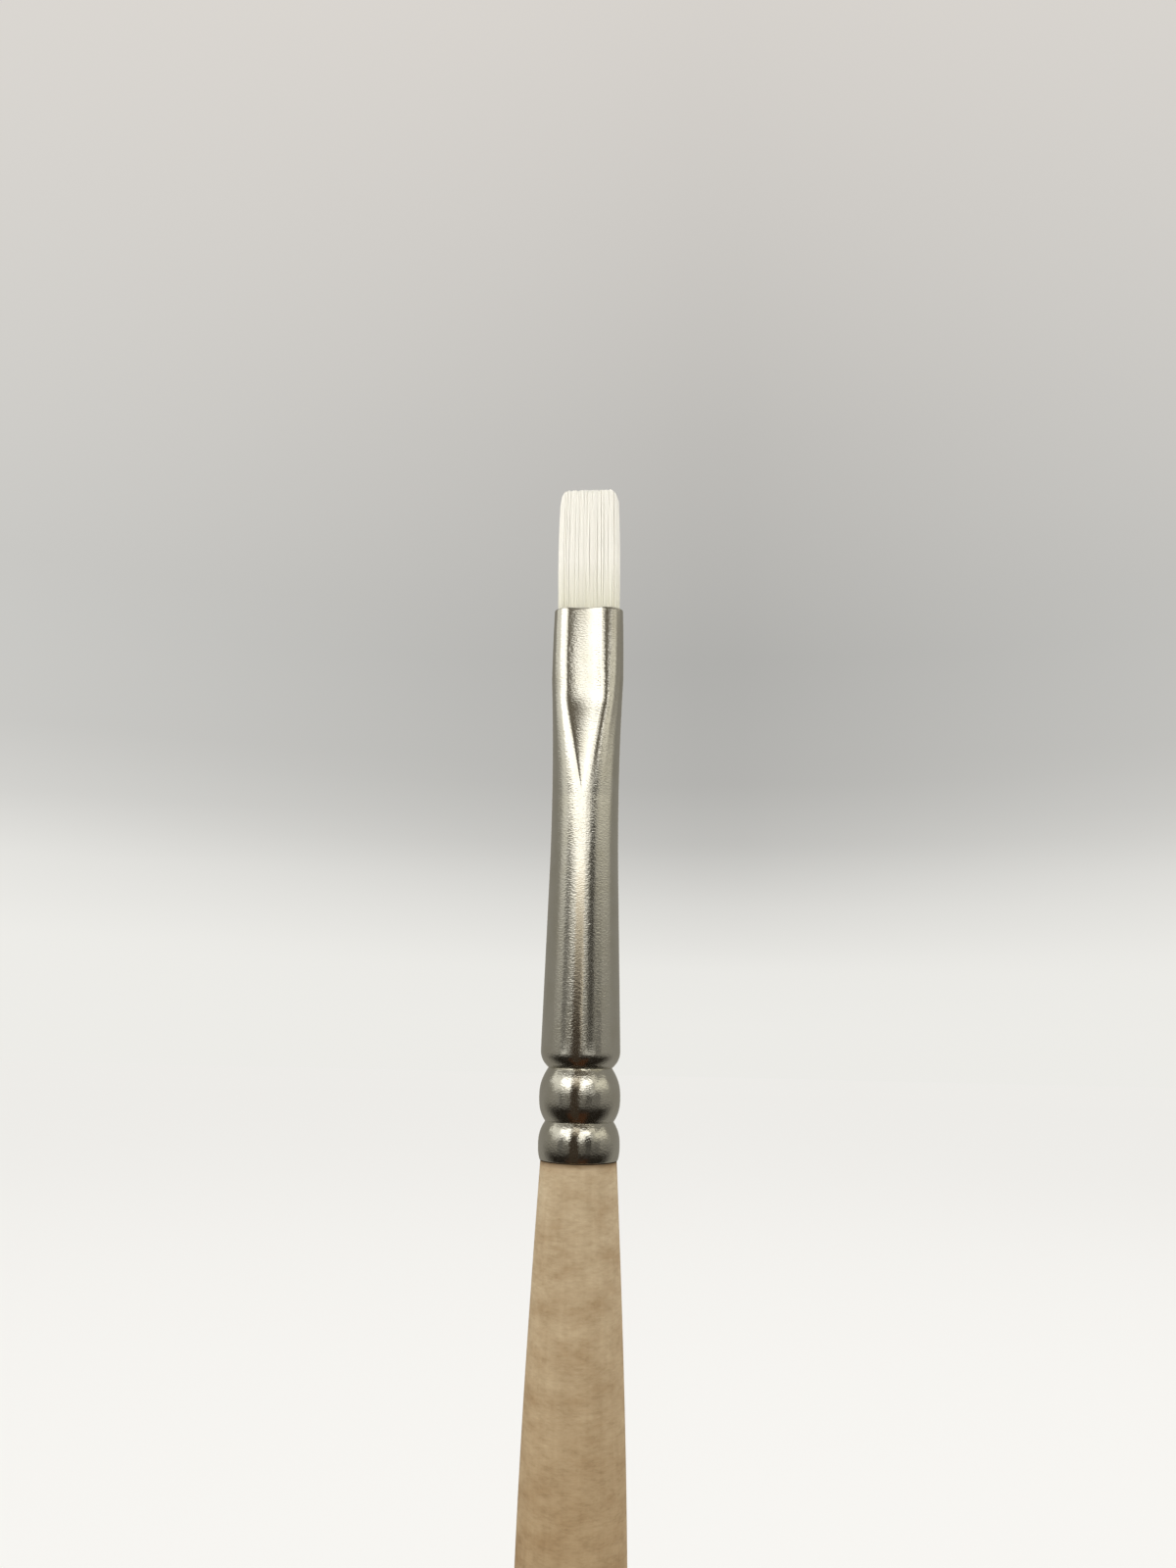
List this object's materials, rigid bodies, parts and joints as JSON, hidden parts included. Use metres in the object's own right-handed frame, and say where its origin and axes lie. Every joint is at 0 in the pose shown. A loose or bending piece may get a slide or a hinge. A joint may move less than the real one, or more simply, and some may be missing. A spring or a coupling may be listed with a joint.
{
  "type": "gel nail brush",
  "caption": "Slim flat brush for nail gel: square-cut nylon tuft in a metal ferrule pressed flat at the mouth and crimped onto a turned raw wooden handle.",
  "frame": {"origin": "centre of the small flat on the end of the handle, the lowest point of the upright brush", "axes": "+Z along the brush from the end of the handle to the tips of the filaments; X across the wide way of the tuft; the flat faces of the ferrule look along -Y and +Y"},
  "size_m": [0.0066, 0.0066, 0.1644],
  "materials": {
    "handle_wood": "raw turned hardwood, sanded, no varnish",
    "tenon_glue": "dried adhesive",
    "ferrule_nickel": "satin nickel plate on drawn brass, fine lines round the tube",
    "filaments": "white nylon filaments, soft gloss",
    "bonded_roots": "filaments soaked in clear resin",
    "thread": "waxed thread",
    "epoxy": "set amber epoxy"
  },
  "bodies": {
    "root": {"handle": "handle_wood", "tenon_glue": "tenon_glue", "ferrule": "ferrule_nickel", "filament_tuft": "filaments", "root_bundle": "bonded_roots", "binding_thread": "thread", "root_epoxy": "epoxy"}
  },
  "joints": []
}
